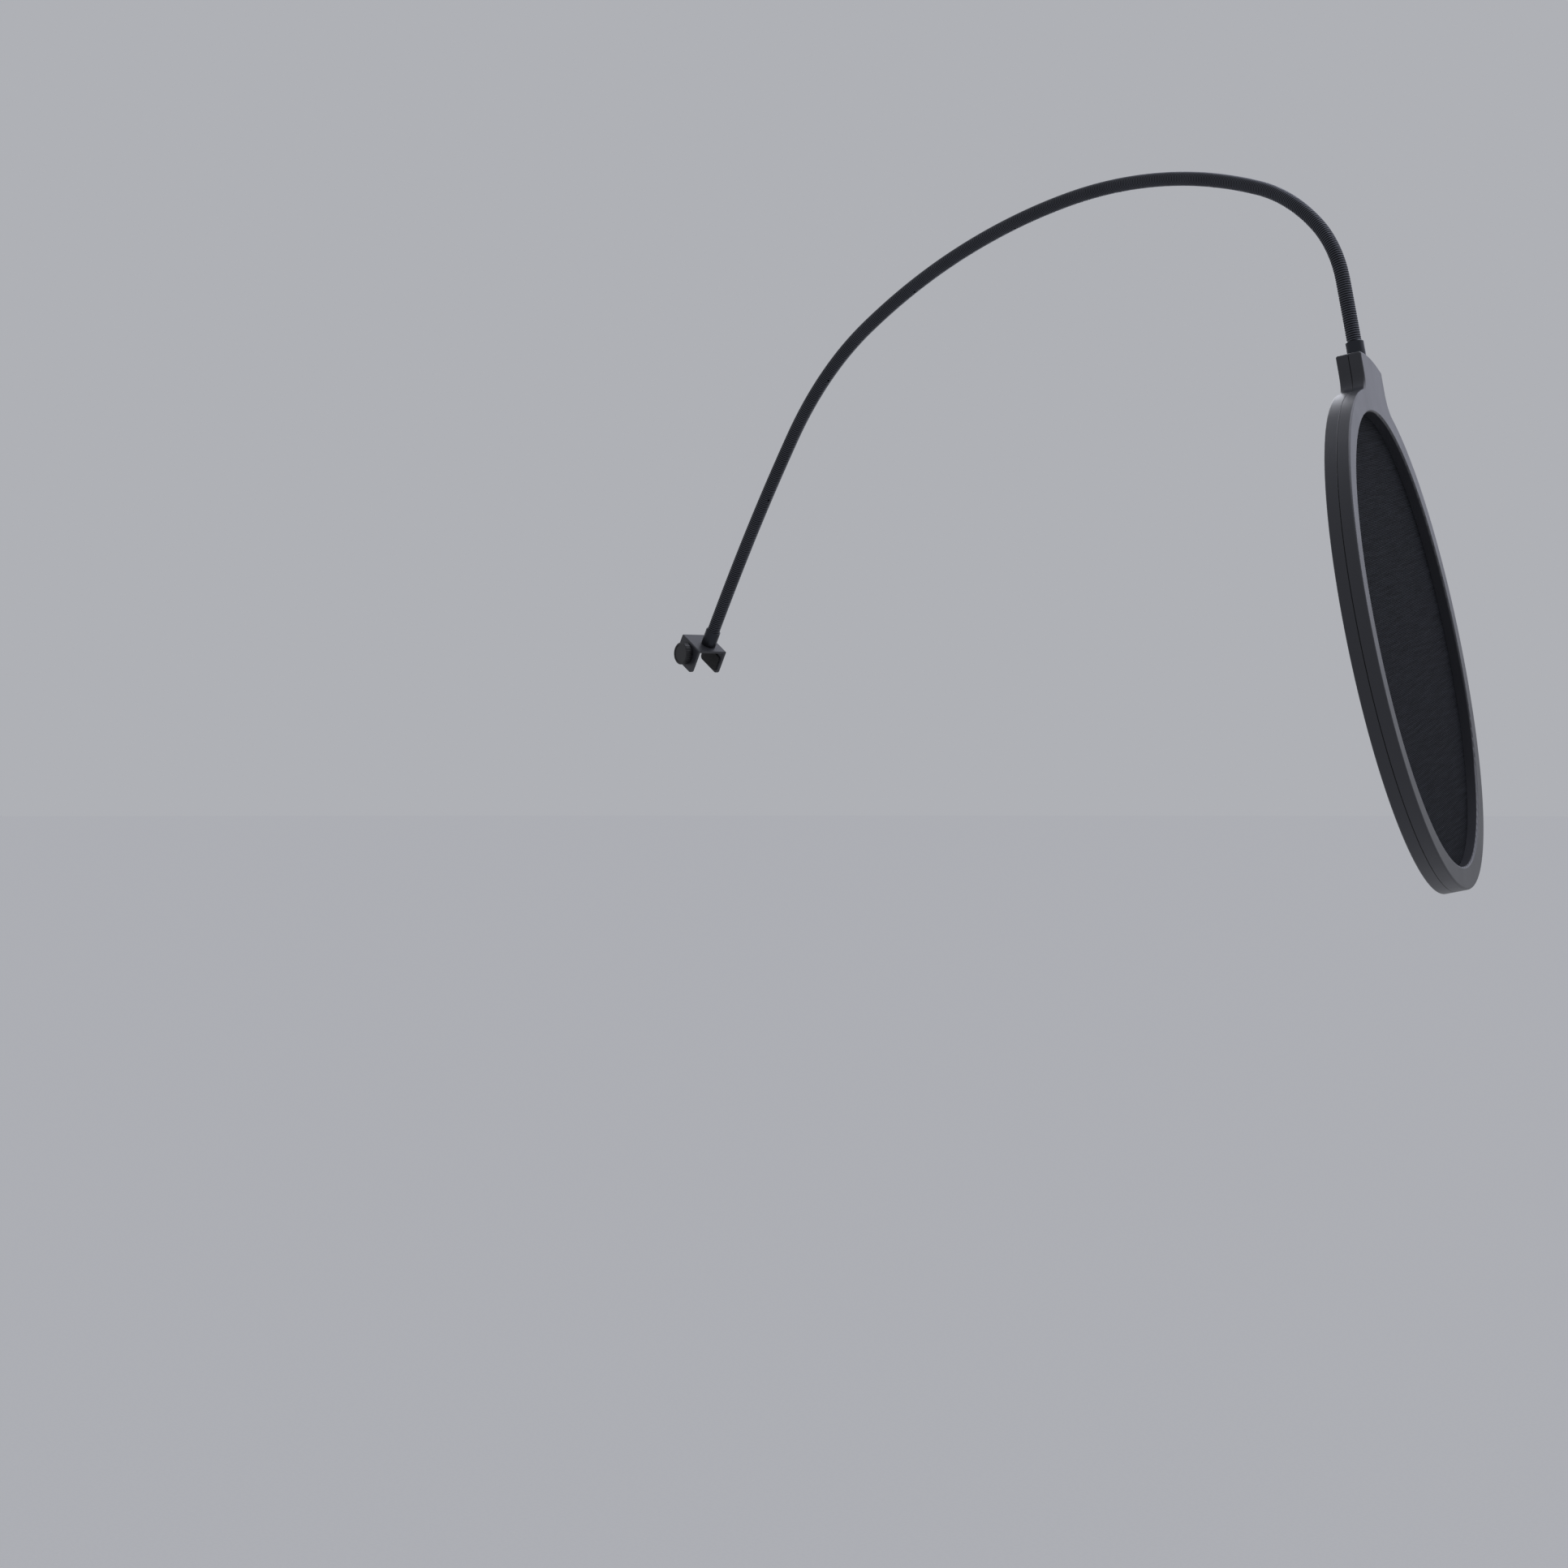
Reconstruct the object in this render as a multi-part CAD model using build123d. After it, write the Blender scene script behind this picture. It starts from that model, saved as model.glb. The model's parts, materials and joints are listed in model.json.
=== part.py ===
from build123d import *
import math
import os

# A pop filter for a studio microphone: a round two-layer mesh screen on a bendable gooseneck arm,
# held by a small screw clamp on the tilted bar of a boom stand.
# Millimetres. The origin is the seat: the middle of the clamp plate's underside, where the bar rests.
# +X is the level way that the arm reaches, +Y runs along the clamp's screw, and +Z is up.

# The clamp, in its own frame: x along the gripped bar, y along the screw, z out of the plate.
BAR_SLOPE = 32.3  # degrees that the gripped bar runs below the level
SHEET = 0.9  # thickness of the bent steel strip
PLATE_LENGTH = 12.1
FRONT_FACE_Y = -7.4  # outer face of the jaw that carries the screw
REAR_FACE_Y = 5.2  # outer face of the fixed jaw
JAW_DEPTH = 8.8  # how far both jaws hang below the seat
BEND_RADIUS = 0.5  # outside each bend
JAW_CORNER = 1.5
SCREW_DEPTH = 3.8  # the screw's axis, below the seat
SCREW_RADIUS = 1.15
SCREW_TIP_Y = -4.9
RUNNING_GAP = 0.05  # radial clearance of every turning fit
BUSH_RADIUS = 1.8
BUSH_FLANGE = 2.6
BUSH_FLANGE_LENGTH = 0.2
KNOB_RADIUS = 4.1
KNOB_LENGTH = 2.6
KNOB_INNER_Y = -8.0
KNOB_RIBS = 36
KNOB_RIB_DEPTH = 0.2
KNOB_EDGE = 0.3
KNOB_WALL = 1.0  # between the screw's end and the knob's outer face
CAP_RADIUS = 3.2
CAP_RECESS = 0.15
CAP_LENGTH = 0.5
PAD_RADIUS = 1.75
PAD_FACE_Y = -4.2  # the face that meets the bar
PAD_LENGTH = 1.2
JAW_PAD_LENGTH = 0.5
JAW_PAD_HEIGHT = 5.8
JAW_PAD_DROP = 2.4  # from the seat to the pad's upper edge

# The gooseneck's foot.
FOOT_AHEAD = 1.05  # the arm's axis, ahead of the plate's middle along the bar
RIVET_RADIUS = 1.1
RIVET_HEAD_RADIUS = 1.9
RIVET_LENGTH = 3.6  # from the seat to the rivet's end inside the collar
COLLAR_RADIUS = 2.75
LOWER_COLLAR_LENGTH = 6.1
LOWER_SOCKET = 2.2  # how deep the arm's end sits in the lower collar

# The gooseneck: tangent arcs in the X-Z plane, each given by its length and its turn in degrees.
ARM_ARCS = (
    (37, 2),
    (53, 4),
    (57, 24.3),
    (57, 10.6),
    (57, 9.5),
    (51, 12.5),
    (41.2, 10.8),
    (29.8, 25.5),
    (22.1, 34.0),
    (26.0, 1.0),
)
WRAP_RADIUS = 2.35
WRAP_BORE = 1.7
CORE_RADIUS = 1.5
WRAP_END_GAP = 0.45  # a wrap stops this far from each bending point
SOCKET_SETBACK = 0.6  # a core's socket starts this far past the bending point

# The upper collar and the swivel stud.
UPPER_COLLAR_RADIUS = 2.9
UPPER_COLLAR_LENGTH = 6.2
UPPER_SOCKET = 2.0
STUD_RADIUS = 1.4
STUD_DEPTH = 9.0  # from the tab's top to the stud's end
STUD_ROOT = 2.2  # how far the stud reaches up into the collar
CLIP_RADIUS = 2.4
CLIP_LENGTH = 1.2
CLIP_DEPTH = 7.0  # from the tab's top to the clip's upper face

# The hoop, in its own frame: x across, y up the stud's axis, z out of the front face.
HOOP_RADIUS = 77.5
OPENING_RADIUS = 70.4
FRONT_HALF = 4.0  # depth of the front half, from the seam to its face
REAR_HALF = 3.9
RIM_FILLET = 0.6
SEAM_CHAMFER = 0.15
MESH_RADIUS = 73.2
POCKET_RADIUS = 73.4
MESH_THICKNESS = 0.3
SPACER_HALF = 0.3  # half the gap between the two mesh layers
TAB_TOP = 89.3  # radius of the tab's top, about the hoop's centre
TAB_HALF_WIDTH = 15.3
TAB_CORNER = 0.7
TAB_ROOT_FILLET = 7.0
SWIVEL = 33.5  # degrees that the hoop is turned about the stud
RIM_SCREWS = 6
RIM_SCREW_CIRCLE = 75.5
TAB_SCREW_X = 9.5
TAB_SCREW_Y = 82.5
HOLE_RADIUS = 0.85
SHANK_RADIUS = 0.8
HEAD_RADIUS = 1.35
HEAD_LENGTH = 1.1
SHANK_REACH = 2.4  # how far each screw enters the front half
HEAD_RECESS = 0.2
HEAD_SLOT = 0.35


def export(node, shape):
    """Writes one node's solids to its own file."""
    export_step(shape, f"parts/{node}.step")


def rod(radius, low, high):
    """A round rod along the local z axis, from low to high."""
    return Pos(0, 0, low) * Cylinder(radius, high - low, align=(Align.CENTER, Align.CENTER, Align.MIN))


def tube(radius, bore, low, high):
    """A round tube along the local z axis."""
    return rod(radius, low, high) - rod(bore, low, high)


# ---------------------------------------------------------------- the clamp

slope = math.radians(BAR_SLOPE)
clamp_frame = Plane(
    origin=(0, 0, 0),
    x_dir=(math.cos(slope), 0, -math.sin(slope)),
    z_dir=(math.sin(slope), 0, math.cos(slope)),
).location
plate_middle_y = (FRONT_FACE_Y + REAR_FACE_Y) / 2
seat_width = REAR_FACE_Y - FRONT_FACE_Y - 2 * SHEET


def screw_rod(radius, low_y, high_y):
    """A rod along the screw's axis, in the clamp's frame."""
    return Pos(0, 0, -SCREW_DEPTH) * Rot(-90, 0, 0) * rod(radius, low_y, high_y)


def foot_rod(radius, low, high):
    """A rod along the arm's first direction, in the clamp's frame."""
    return Pos(FOOT_AHEAD, 0, 0) * rod(radius, low, high)


def clamp_bracket():
    """One strip of steel bent into a C: the top plate and its two jaws."""
    outline = Pos(plate_middle_y, (SHEET - JAW_DEPTH) / 2) * Rectangle(
        seat_width + 2 * SHEET, JAW_DEPTH + SHEET
    )
    outline = fillet(outline.vertices().group_by(Axis.Y)[-1], BEND_RADIUS)
    opening = Pos(plate_middle_y, -JAW_DEPTH / 2) * Rectangle(seat_width, JAW_DEPTH)
    section = outline - opening
    strip = extrude(Plane.YZ * section, PLATE_LENGTH / 2, both=True)
    jaw_corners = strip.edges().filter_by(Axis.Y).group_by(Axis.Z)[0]
    strip = fillet(jaw_corners, JAW_CORNER)
    strip -= screw_rod(BUSH_RADIUS, FRONT_FACE_Y - 1, FRONT_FACE_Y + SHEET + 1)
    strip -= foot_rod(RIVET_RADIUS, -1, SHEET + 1)
    countersink = Pos(FOOT_AHEAD, 0, SHEET / 2) * Cone(RIVET_HEAD_RADIUS, RIVET_RADIUS, SHEET)
    return strip - countersink


def base_rivet():
    """The countersunk rivet that fixes the lower collar, flush with the seat."""
    head = Pos(FOOT_AHEAD, 0, SHEET / 2) * Cone(RIVET_HEAD_RADIUS, RIVET_RADIUS, SHEET)
    return head + foot_rod(RIVET_RADIUS, SHEET, RIVET_LENGTH)


def lower_collar():
    """The ferrule that stands on the plate and grips the arm's lower end."""
    low, high = SHEET, SHEET + LOWER_COLLAR_LENGTH
    collar = foot_rod(COLLAR_RADIUS, low, high)
    collar = chamfer(collar.edges().group_by(Axis.Z)[-1], 0.25)
    collar -= foot_rod(RIVET_RADIUS, low, RIVET_LENGTH)
    return collar - foot_rod(WRAP_RADIUS, high - LOWER_SOCKET, high)


def screw_bush():
    """The threaded bush riveted through the front jaw."""
    barrel = screw_rod(BUSH_RADIUS, FRONT_FACE_Y, FRONT_FACE_Y + SHEET)
    flange = screw_rod(BUSH_FLANGE, FRONT_FACE_Y - BUSH_FLANGE_LENGTH, FRONT_FACE_Y)
    return barrel + flange - screw_rod(SCREW_RADIUS + RUNNING_GAP, FRONT_FACE_Y - 2, FRONT_FACE_Y + 2)


def clamp_screw():
    """The clamp screw, from inside the knob to its tip in the pressure pad."""
    screw = screw_rod(SCREW_RADIUS, KNOB_INNER_Y - KNOB_LENGTH + KNOB_WALL, SCREW_TIP_Y)
    return chamfer(screw.edges().group_by(Axis.Y)[-1], 0.2)


def thumb_knob():
    """The small round knob with a ribbed rim, a blind bore for the screw and a recess for its cap."""
    outer_y = KNOB_INNER_Y - KNOB_LENGTH
    knob = screw_rod(KNOB_RADIUS, outer_y, KNOB_INNER_Y)
    knob = chamfer(knob.edges().filter_by(GeomType.CIRCLE), KNOB_EDGE)
    for rib in range(KNOB_RIBS):
        angle = 2 * math.pi * rib / KNOB_RIBS
        groove = Pos(KNOB_RADIUS * math.cos(angle), 0, KNOB_RADIUS * math.sin(angle)) * screw_rod(
            KNOB_RIB_DEPTH, outer_y - 1, KNOB_INNER_Y + 1
        )
        knob -= groove
    knob -= screw_rod(SCREW_RADIUS, outer_y + KNOB_WALL, KNOB_INNER_Y)
    return knob - screw_rod(CAP_RADIUS, outer_y, outer_y + CAP_LENGTH)


def knob_cap():
    """The plain disc set in the knob's outer face."""
    outer_y = KNOB_INNER_Y - KNOB_LENGTH
    return screw_rod(CAP_RADIUS, outer_y + CAP_RECESS, outer_y + CAP_LENGTH)


def pressure_pad():
    """The foot that the screw's tip turns in, which presses on the bar."""
    pad = screw_rod(PAD_RADIUS, PAD_FACE_Y - PAD_LENGTH, PAD_FACE_Y)
    pad = fillet(pad.edges().group_by(Axis.Y)[-1], 0.25)
    socket = screw_rod(SCREW_RADIUS + RUNNING_GAP, PAD_FACE_Y - PAD_LENGTH, SCREW_TIP_Y + RUNNING_GAP)
    return pad - socket


def jaw_pad():
    """The thin grip pad on the inside of the fixed jaw."""
    inner_y = REAR_FACE_Y - SHEET
    block = Pos(0, inner_y - JAW_PAD_LENGTH / 2, -JAW_PAD_DROP - JAW_PAD_HEIGHT / 2) * Box(
        PLATE_LENGTH - 2, JAW_PAD_LENGTH, JAW_PAD_HEIGHT
    )
    return fillet(block.edges().filter_by(Axis.Y), 1)


# ---------------------------------------------------------------- the gooseneck

arm_foot = clamp_frame * Pos(FOOT_AHEAD, 0, SHEET)


def heading(degrees):
    """The unit vector at this angle from straight up, turning towards +X."""
    return Vector(math.sin(math.radians(degrees)), 0, math.cos(math.radians(degrees)))


def arm_points():
    """Each arc's start and the arm's end, as (point, heading in degrees)."""
    point, angle = arm_foot.position, BAR_SLOPE
    points = [(point, angle)]
    for length, turn in ARM_ARCS:
        chord = length * math.sin(math.radians(turn) / 2) / (math.radians(turn) / 2)
        point = point + heading(angle + turn / 2) * chord
        angle += turn
        points.append((point, angle))
    return points


def arm_arc(index, start_gap, end_gap):
    """The centreline of one arc of the arm, without a length at its start and at its end."""
    start, angle = arm_points()[index]
    length, turn = ARM_ARCS[index]
    radius = length / math.radians(turn)
    centre = start + heading(angle + 90) * radius

    def at(distance):
        return centre - heading(angle + 90 + turn * distance / length) * radius

    return ThreePointArc(at(start_gap), at(length / 2), at(length - end_gap))


def arm_sweep(path, radius):
    """A round rod along a centreline."""
    return sweep(Plane(origin=path @ 0, z_dir=path % 0) * Circle(radius), path=path)


def bend_frame(index):
    """The place of a bending point, with z along the arm."""
    point, angle = arm_points()[index]
    return Plane(origin=point, x_dir=heading(angle + 90), z_dir=heading(angle)).location


def wrap(index):
    """The outer wound wrap of one arc. The first starts inside the lower collar."""
    first, last = index == 0, index == len(ARM_ARCS) - 1
    start_gap = LOWER_COLLAR_LENGTH - LOWER_SOCKET if first else WRAP_END_GAP
    end_gap = UPPER_COLLAR_LENGTH - UPPER_SOCKET if last else WRAP_END_GAP
    path = arm_arc(index, start_gap, end_gap)
    return arm_sweep(path, WRAP_RADIUS) - arm_sweep(path, WRAP_BORE)


def core(index):
    """The inner spring of one arc: a socket at its start and a ball at its end, on the bending points."""
    first, last = index == 0, index == len(ARM_ARCS) - 1
    start_gap = LOWER_COLLAR_LENGTH - LOWER_SOCKET if first else SOCKET_SETBACK
    end_gap = UPPER_COLLAR_LENGTH - UPPER_SOCKET if last else 0
    rod_body = arm_sweep(arm_arc(index, start_gap, end_gap), CORE_RADIUS)
    if not first:
        rod_body -= bend_frame(index) * Sphere(CORE_RADIUS + RUNNING_GAP)
    if not last:
        ball = bend_frame(index + 1) * Sphere(CORE_RADIUS)
        rod_body += ball
    return rod_body


# ---------------------------------------------------------------- the swivel

tip_point, tip_angle = arm_points()[-1]
down = heading(tip_angle)
swivel_frame = Plane(origin=tip_point, x_dir=heading(tip_angle + 90), z_dir=down).location


def upper_collar():
    """The ferrule between the arm's end and the hoop's tab."""
    collar = rod(UPPER_COLLAR_RADIUS, -UPPER_COLLAR_LENGTH, -0.1)
    collar = chamfer(collar.edges().group_by(Axis.Z)[0], 0.4)
    collar -= rod(WRAP_RADIUS, -UPPER_COLLAR_LENGTH, -UPPER_COLLAR_LENGTH + UPPER_SOCKET)
    return swivel_frame * (collar - rod(STUD_RADIUS, -STUD_ROOT, 0))


def neck_stud():
    """The stud that the hoop swivels on, fixed in the collar."""
    stud = rod(STUD_RADIUS, -STUD_ROOT, STUD_DEPTH)
    return swivel_frame * chamfer(stud.edges().group_by(Axis.Z)[-1], 0.3)


def stud_clip():
    """The ring on the stud's end that keeps the hoop from pulling off."""
    return swivel_frame * tube(CLIP_RADIUS, STUD_RADIUS, CLIP_DEPTH, CLIP_DEPTH + CLIP_LENGTH)


# ---------------------------------------------------------------- the hoop

swivel = math.radians(SWIVEL)
level = heading(tip_angle - 90)
front_normal = level * math.cos(swivel) + Vector(0, 1, 0) * math.sin(swivel)
hoop_centre = tip_point + down * TAB_TOP
hoop_frame = Plane(
    origin=hoop_centre, x_dir=(down * -1).cross(front_normal), z_dir=front_normal
).location


def hoop_outline():
    """The outer outline of both halves: a disc with a tab, whose top is an arc about the same centre."""
    tab_side_y = math.sqrt(TAB_TOP**2 - TAB_HALF_WIDTH**2)
    tab = make_face(
        Polyline((-TAB_HALF_WIDTH, tab_side_y), (-TAB_HALF_WIDTH, 0), (TAB_HALF_WIDTH, 0), (TAB_HALF_WIDTH, tab_side_y))
        + ThreePointArc((TAB_HALF_WIDTH, tab_side_y), (0, TAB_TOP), (-TAB_HALF_WIDTH, tab_side_y))
    )
    outline = Circle(HOOP_RADIUS) + tab
    top_corners = [v for v in outline.vertices() if v.Y > tab_side_y - 0.01]
    outline = fillet(top_corners, TAB_CORNER)
    root_y = math.sqrt(HOOP_RADIUS**2 - TAB_HALF_WIDTH**2)
    roots = [
        v
        for v in outline.vertices()
        if abs(abs(v.X) - TAB_HALF_WIDTH) < 0.01 and abs(v.Y - root_y) < 0.01
    ]
    return fillet(roots, TAB_ROOT_FILLET)


def screw_places():
    """Where the screws that join the halves stand, in the hoop's frame."""
    step = 2 * math.pi / RIM_SCREWS
    rim = [
        (RIM_SCREW_CIRCLE * math.sin(step * (i + 0.5)), RIM_SCREW_CIRCLE * math.cos(step * (i + 0.5)))
        for i in range(RIM_SCREWS)
    ]
    return rim + [(-TAB_SCREW_X, TAB_SCREW_Y), (TAB_SCREW_X, TAB_SCREW_Y)]


def stud_space():
    """The bore for the stud and the pocket for its clip, along the hoop's y axis."""
    gap = RUNNING_GAP
    bore = rod(STUD_RADIUS + gap, -1, STUD_DEPTH + 0.6)
    pocket = rod(CLIP_RADIUS + gap, CLIP_DEPTH - 0.1, CLIP_DEPTH + CLIP_LENGTH + 0.1)
    return Pos(0, TAB_TOP, 0) * Rot(90, 0, 0) * (bore + pocket)


def hoop_half(depth, mesh_side):
    """One moulded half, with its seam at z = 0 and its face at z = depth, and a rebate for the mesh."""
    half = extrude(hoop_outline(), depth)
    half -= rod(OPENING_RADIUS, -1, depth + 1)
    face_edges = half.edges().group_by(Axis.Z)[-1]
    half = fillet(face_edges, RIM_FILLET)
    seam_edges = [e for e in half.edges().group_by(Axis.Z)[0] if e.length < 2 * math.pi * OPENING_RADIUS - 1]
    half = chamfer(seam_edges, SEAM_CHAMFER)
    return half - rod(POCKET_RADIUS, -1, mesh_side)


def front_hoop():
    """The front half, with blind holes for the screws."""
    half = hoop_half(FRONT_HALF, SPACER_HALF + MESH_THICKNESS) - stud_space()
    for x, y in screw_places():
        half -= Pos(x, y, 0) * rod(SHANK_RADIUS, -1, SHANK_REACH)
    return hoop_frame * half


def rear_hoop():
    """The rear half, the front half's mirror image but thinner, with counterbored holes."""
    half = mirror(hoop_half(REAR_HALF, SPACER_HALF + MESH_THICKNESS), about=Plane.XY) - stud_space()
    for x, y in screw_places():
        half -= Pos(x, y, 0) * rod(HOLE_RADIUS, -REAR_HALF - 1, 1)
        half -= Pos(x, y, 0) * rod(HEAD_RADIUS, -REAR_HALF - 1, -REAR_HALF + HEAD_LENGTH)
    return hoop_frame * half


def hoop_screws():
    """The small screws that hold the halves together, driven from the rear."""
    screws = []
    for x, y in screw_places():
        shank = rod(SHANK_RADIUS, -REAR_HALF + HEAD_LENGTH, SHANK_REACH)
        head = rod(HEAD_RADIUS, -REAR_HALF + HEAD_RECESS, -REAR_HALF + HEAD_LENGTH)
        slot = Pos(0, 0, -REAR_HALF + HEAD_RECESS) * Box(2 * HEAD_RADIUS, HEAD_SLOT, 2 * HEAD_SLOT)
        screws.append(hoop_frame * Pos(x, y, 0) * (head + shank - slot))
    return Compound(children=screws)


def mesh_disc(low):
    """One layer of woven mesh, clamped at its edge."""
    return hoop_frame * rod(MESH_RADIUS, low, low + MESH_THICKNESS)


def spacer_ring():
    """The ring that holds the two mesh layers apart."""
    return hoop_frame * tube(MESH_RADIUS, OPENING_RADIUS + 0.4, -SPACER_HALF, SPACER_HALF)


def main():
    """Writes every node."""
    os.makedirs("parts", exist_ok=True)
    for name, build in {
        "clamp_bracket": clamp_bracket,
        "base_rivet": base_rivet,
        "lower_collar": lower_collar,
        "screw_bush": screw_bush,
        "clamp_screw": clamp_screw,
        "thumb_knob": thumb_knob,
        "knob_cap": knob_cap,
        "pressure_pad": pressure_pad,
        "jaw_pad": jaw_pad,
    }.items():
        export(name, clamp_frame * build())
    for index in range(len(ARM_ARCS)):
        export(f"arm_wrap_{index + 1}", wrap(index))
        export(f"arm_core_{index + 1}", core(index))
    for build in (upper_collar, neck_stud, stud_clip, front_hoop, rear_hoop, hoop_screws, spacer_ring):
        export(build.__name__, build())
    export("front_mesh", mesh_disc(SPACER_HALF))
    export("rear_mesh", mesh_disc(-SPACER_HALF - MESH_THICKNESS))
    for index, (point, angle) in enumerate(arm_points()):
        print(f"bend {index}: {point.X:.3f} {point.Z:.3f} heading {angle:.1f}")
    print("hoop centre", hoop_centre, "front", front_normal, "down", down)


main()
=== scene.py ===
"""Blender model of a studio pop filter: a two-layer mesh hoop on a gooseneck arm with a small bar clamp."""

import json
import logging
import math
from dataclasses import dataclass, field
from enum import Enum
from typing import Callable, Optional, Sequence

import bpy
from mathutils import Matrix, Vector


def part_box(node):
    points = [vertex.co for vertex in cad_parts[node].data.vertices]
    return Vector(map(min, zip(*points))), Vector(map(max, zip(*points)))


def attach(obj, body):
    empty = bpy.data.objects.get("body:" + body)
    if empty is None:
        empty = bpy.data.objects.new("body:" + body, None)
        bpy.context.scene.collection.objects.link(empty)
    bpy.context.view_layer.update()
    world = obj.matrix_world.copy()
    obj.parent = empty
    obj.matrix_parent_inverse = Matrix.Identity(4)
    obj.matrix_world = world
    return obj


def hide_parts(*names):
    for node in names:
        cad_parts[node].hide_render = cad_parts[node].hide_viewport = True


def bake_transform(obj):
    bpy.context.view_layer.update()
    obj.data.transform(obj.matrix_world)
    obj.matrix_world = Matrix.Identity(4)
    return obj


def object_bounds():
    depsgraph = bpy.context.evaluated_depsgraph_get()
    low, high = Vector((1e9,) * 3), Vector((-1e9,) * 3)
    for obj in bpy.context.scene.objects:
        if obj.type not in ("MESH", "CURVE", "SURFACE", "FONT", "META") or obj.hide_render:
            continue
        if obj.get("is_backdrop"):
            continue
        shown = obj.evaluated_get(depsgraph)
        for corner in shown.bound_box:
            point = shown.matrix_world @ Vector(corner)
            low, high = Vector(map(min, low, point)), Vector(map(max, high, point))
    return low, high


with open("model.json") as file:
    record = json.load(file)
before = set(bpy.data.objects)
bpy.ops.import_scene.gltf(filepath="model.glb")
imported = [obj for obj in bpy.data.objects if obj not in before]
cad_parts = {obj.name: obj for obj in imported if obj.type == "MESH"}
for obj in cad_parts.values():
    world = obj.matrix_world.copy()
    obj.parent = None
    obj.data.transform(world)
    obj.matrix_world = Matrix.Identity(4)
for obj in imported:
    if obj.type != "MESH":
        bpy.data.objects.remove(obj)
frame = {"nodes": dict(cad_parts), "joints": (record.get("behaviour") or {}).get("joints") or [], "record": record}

log = logging.getLogger("pop_filter")
# Metres in a millimetre.
MM = 0.001
# A turn of less than this many radians counts as straight.
STRAIGHT = 1e-9
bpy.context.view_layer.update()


# ------------------------------------------------------------------ colours and nodes


def linear(hex_colour: str) -> tuple[float, float, float, float]:
    """Turns an sRGB hex colour into Blender's linear colour.

    Args:
        hex_colour: six hex digits with a leading #.

    Returns:
        Linear red, green and blue, and an alpha of 1.
    """
    values = [int(hex_colour[i : i + 2], 16) / 255 for i in (1, 3, 5)]
    red, green, blue = (v / 12.92 if v <= 0.04045 else ((v + 0.055) / 1.055) ** 2.4 for v in values)
    return red, green, blue, 1.0


def add_node(
    tree: bpy.types.NodeTree, kind: str, settings: Optional[dict] = None, **inputs: object
) -> bpy.types.Node:
    """Adds one shader node with its settings and its links.

    Args:
        tree: the material's node tree.
        kind: the node's type, without the ShaderNode prefix.
        settings: attributes of the node itself.
        **inputs: a value or an output socket for each input, named with underscores for spaces,
            or _N for the input at index N.

    Returns:
        The new node.
    """
    node = tree.nodes.new("ShaderNode" + kind)
    for name, value in (settings or {}).items():
        setattr(node, name, value)
    for name, value in inputs.items():
        socket = node.inputs[int(name[1:])] if name[0] == "_" else node.inputs[name.replace("_", " ")]
        if isinstance(value, bpy.types.NodeSocket):
            tree.links.new(value, socket)
        else:
            socket.default_value = value
    return node


def set_ramp(node: bpy.types.Node, *stops: tuple[float, str]) -> bpy.types.NodeSocket:
    """Gives a colour ramp its stops.

    Args:
        node: the ramp.
        *stops: each stop's place and sRGB hex colour.

    Returns:
        The ramp's colour output.
    """
    elements = node.color_ramp.elements
    while len(elements) < len(stops):
        elements.new(0.5)
    for element, (place, colour) in zip(elements, stops):
        element.position = place
        element.color = linear(colour)
    return node.outputs["Color"]


def per_metre(size_mm: float) -> float:
    """How many of a pattern's cells of this size, in millimetres, fit in a metre."""
    return 1 / (size_mm * MM)


# ------------------------------------------------------------------ finishes


@dataclass(frozen=True)
class Finish:
    """What every finish has: a real material's name and its uniform shader values."""

    name: str
    colour: str
    roughness: float
    metallic: float = 0.0
    specular: float = 0.5

    def start(self) -> tuple[bpy.types.NodeTree, bpy.types.Node]:
        """Makes the material and its shader, with the uniform values on the shader's own sockets.

        Returns:
            The node tree and the shader node.
        """
        material = bpy.data.materials.new(self.name)
        material.use_nodes = True
        shader = material.node_tree.nodes["Principled BSDF"]
        shader.inputs["Base Color"].default_value = linear(self.colour)
        shader.inputs["Metallic"].default_value = self.metallic
        shader.inputs["Roughness"].default_value = self.roughness
        shader.inputs["Specular IOR Level"].default_value = self.specular
        return material.node_tree, shader

    def build(self) -> bpy.types.Material:
        """Makes the material. Each kind of finish adds its own surface to it."""
        raise NotImplementedError


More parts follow.
